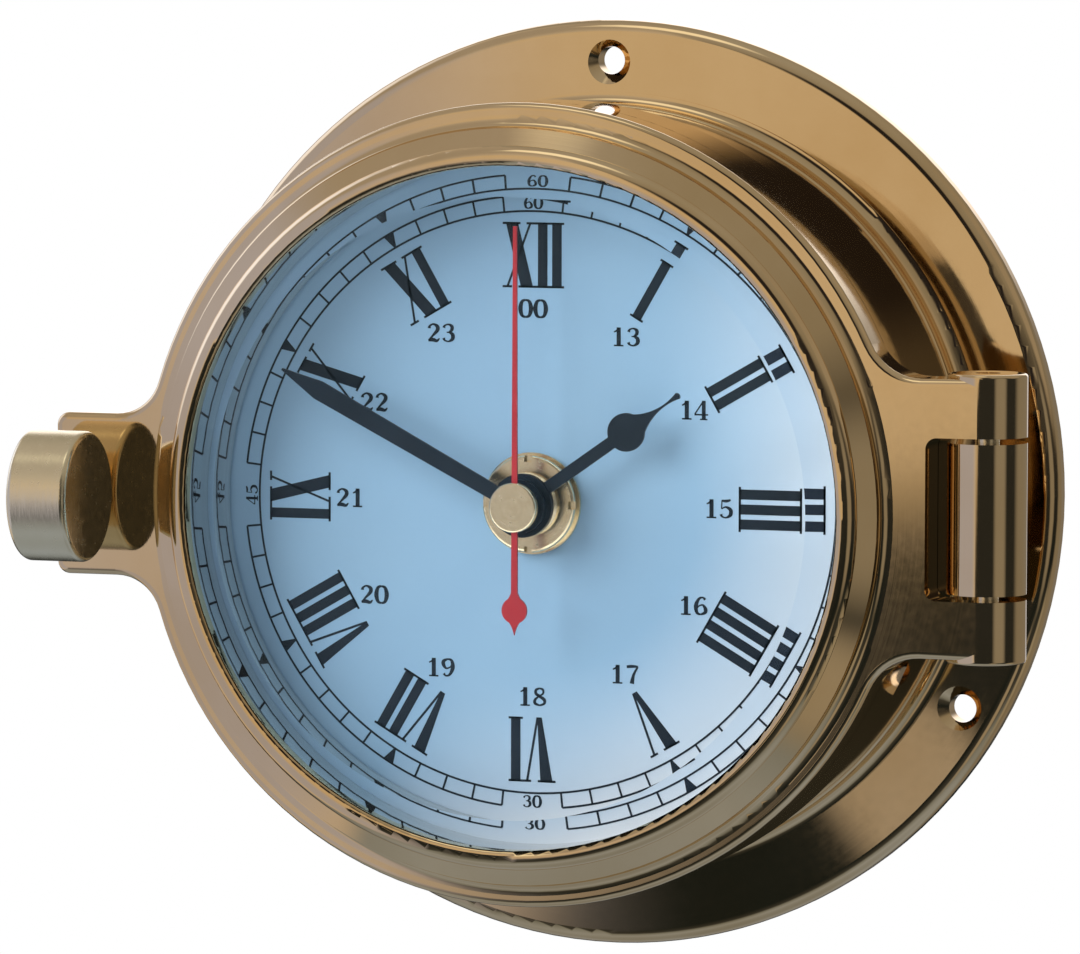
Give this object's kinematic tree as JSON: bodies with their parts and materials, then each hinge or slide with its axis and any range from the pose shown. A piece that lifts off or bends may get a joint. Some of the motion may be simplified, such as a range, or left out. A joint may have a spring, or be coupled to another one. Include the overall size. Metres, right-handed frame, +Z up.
{
  "type": "ships deck clock",
  "caption": "Round brass bulkhead clock with a flanged drum case, a hinged glazed bezel held by a thumbscrew, a pale Roman dial and a quartz movement.",
  "frame": {"origin": "centre of the flange's back face, on the bulkhead", "axes": "+Z up to the 12 on the dial, +Y into the bulkhead, +X to the hinge; the dial faces -Y"},
  "size_m": [0.1261, 0.0566, 0.12],
  "materials": {
    "polished_brass": "polished",
    "turned_brass": "turned",
    "reflector_silver": "bright",
    "steel": "satin",
    "glass": "clear",
    "dial_paint": "satin",
    "hand_black": "satin",
    "hand_red": "satin",
    "rubber": "matt",
    "pale_seal": "matt",
    "housing_plastic": "moulded",
    "gear_plastic": "moulded",
    "board_green": "laminate",
    "copper": "wound wire",
    "cell_wrap": "printed",
    "cover_paint": "satin"
  },
  "bodies": {
    "case": {"mounting_flange": "polished_brass", "case_drum": "polished_brass", "case_collar": "polished_brass", "case_gasket": "rubber", "rear_cover": "cover_paint", "rear_cover_screws": "steel", "hinge_pin": "turned_brass", "dial_plate": "dial_paint", "dial_screws": "steel", "threaded_bush": "turned_brass", "dial_washer": "turned_brass", "mounting_nut": "turned_brass", "rubber_washer": "rubber", "movement_front_housing": "housing_plastic", "movement_back_housing": "housing_plastic", "battery_cell": "cell_wrap", "positive_contact": "steel", "negative_contact": "steel", "stator_plate": "steel", "coil_core": "steel", "coil_bobbin": "gear_plastic", "coil_winding": "copper", "circuit_board": "board_green", "driver_chip": "housing_plastic", "quartz_crystal": "steel"},
    "bezel": {"bezel_ring": "polished_brass", "glass_pane": "glass", "glass_gasket": "pale_seal", "reflector_ring": "reflector_silver", "snap_ring": "steel"},
    "clamp_shank": {"thumbscrew_shank": "turned_brass"},
    "clamp_head": {"thumbscrew_head": "turned_brass"},
    "seconds": {"second_wheel": "gear_plastic", "second_hand": "hand_red", "second_hand_cap": "turned_brass"},
    "rotor": {"rotor_pinion": "gear_plastic", "rotor_magnet": "steel"},
    "step": {"step_wheel": "gear_plastic"},
    "third": {"third_wheel": "gear_plastic"},
    "minutes": {"minute_wheel": "gear_plastic", "minute_hand": "hand_black"},
    "motion": {"motion_wheel": "gear_plastic"},
    "hours": {"hour_wheel": "gear_plastic", "hour_hand": "hand_black"},
    "setting": {"setting_stem": "gear_plastic", "setting_knob": "gear_plastic"}
  },
  "joints": [
    {"name": "bezel_swing", "type": "hinge", "parent": "case", "child": "bezel", "pos_m": [0.0592, -0.035, 0], "axis": [0, 0, 1], "range_deg": [0, 150]},
    {"name": "thumbscrew_travel", "type": "slide", "parent": "bezel", "child": "clamp_shank", "axis": [0, -1, 0], "range_m": [0, 0.0049]},
    {"name": "thumbscrew_turn", "type": "hinge", "parent": "clamp_shank", "child": "clamp_head", "pos_m": [-0.058, -0.04, 0.0004], "axis": [0, -1, 0], "range_deg": [0, 2520]},
    {"name": "second_hand_turn", "type": "hinge", "parent": "case", "child": "seconds", "pos_m": [0, -0.03, 0], "axis": [0, 1, 0], "continuous": true},
    {"name": "rotor_turn", "type": "hinge", "parent": "case", "child": "rotor", "pos_m": [-0.01068, -0.02, 0.015], "axis": [0, 1, 0], "continuous": true},
    {"name": "step_wheel_turn", "type": "hinge", "parent": "case", "child": "step", "pos_m": [-0.00648, -0.021, 0.00772], "axis": [0, 1, 0], "continuous": true},
    {"name": "third_wheel_turn", "type": "hinge", "parent": "case", "child": "third", "pos_m": [0.0102, -0.025, 0], "axis": [0, 1, 0], "continuous": true},
    {"name": "minute_hand_turn", "type": "hinge", "parent": "case", "child": "minutes", "pos_m": [0, -0.027, 0], "axis": [0, 1, 0], "continuous": true},
    {"name": "motion_wheel_turn", "type": "hinge", "parent": "case", "child": "motion", "pos_m": [-0.00677, -0.028, -0.00246], "axis": [0, 1, 0], "continuous": true},
    {"name": "hour_hand_turn", "type": "hinge", "parent": "case", "child": "hours", "pos_m": [0, -0.029, 0], "axis": [0, 1, 0], "continuous": true},
    {"name": "setting_knob_turn", "type": "hinge", "parent": "case", "child": "setting", "pos_m": [-0.01353, -0.02, -0.00493], "axis": [0, 1, 0], "continuous": true}
  ],
  "couplings": [
    {"joint": "thumbscrew_travel", "follows": "thumbscrew_turn", "m_per_rad": 0.00011141},
    {"joint": "step_wheel_turn", "follows": "second_hand_turn", "ratio": -5},
    {"joint": "rotor_turn", "follows": "second_hand_turn", "ratio": 30},
    {"joint": "third_wheel_turn", "follows": "second_hand_turn", "ratio": -0.13333},
    {"joint": "minute_hand_turn", "follows": "second_hand_turn", "ratio": 0.016667},
    {"joint": "motion_wheel_turn", "follows": "second_hand_turn", "ratio": -0.0055556},
    {"joint": "hour_hand_turn", "follows": "second_hand_turn", "ratio": 0.0013889},
    {"joint": "setting_knob_turn", "follows": "second_hand_turn", "ratio": 0.016667}
  ]
}
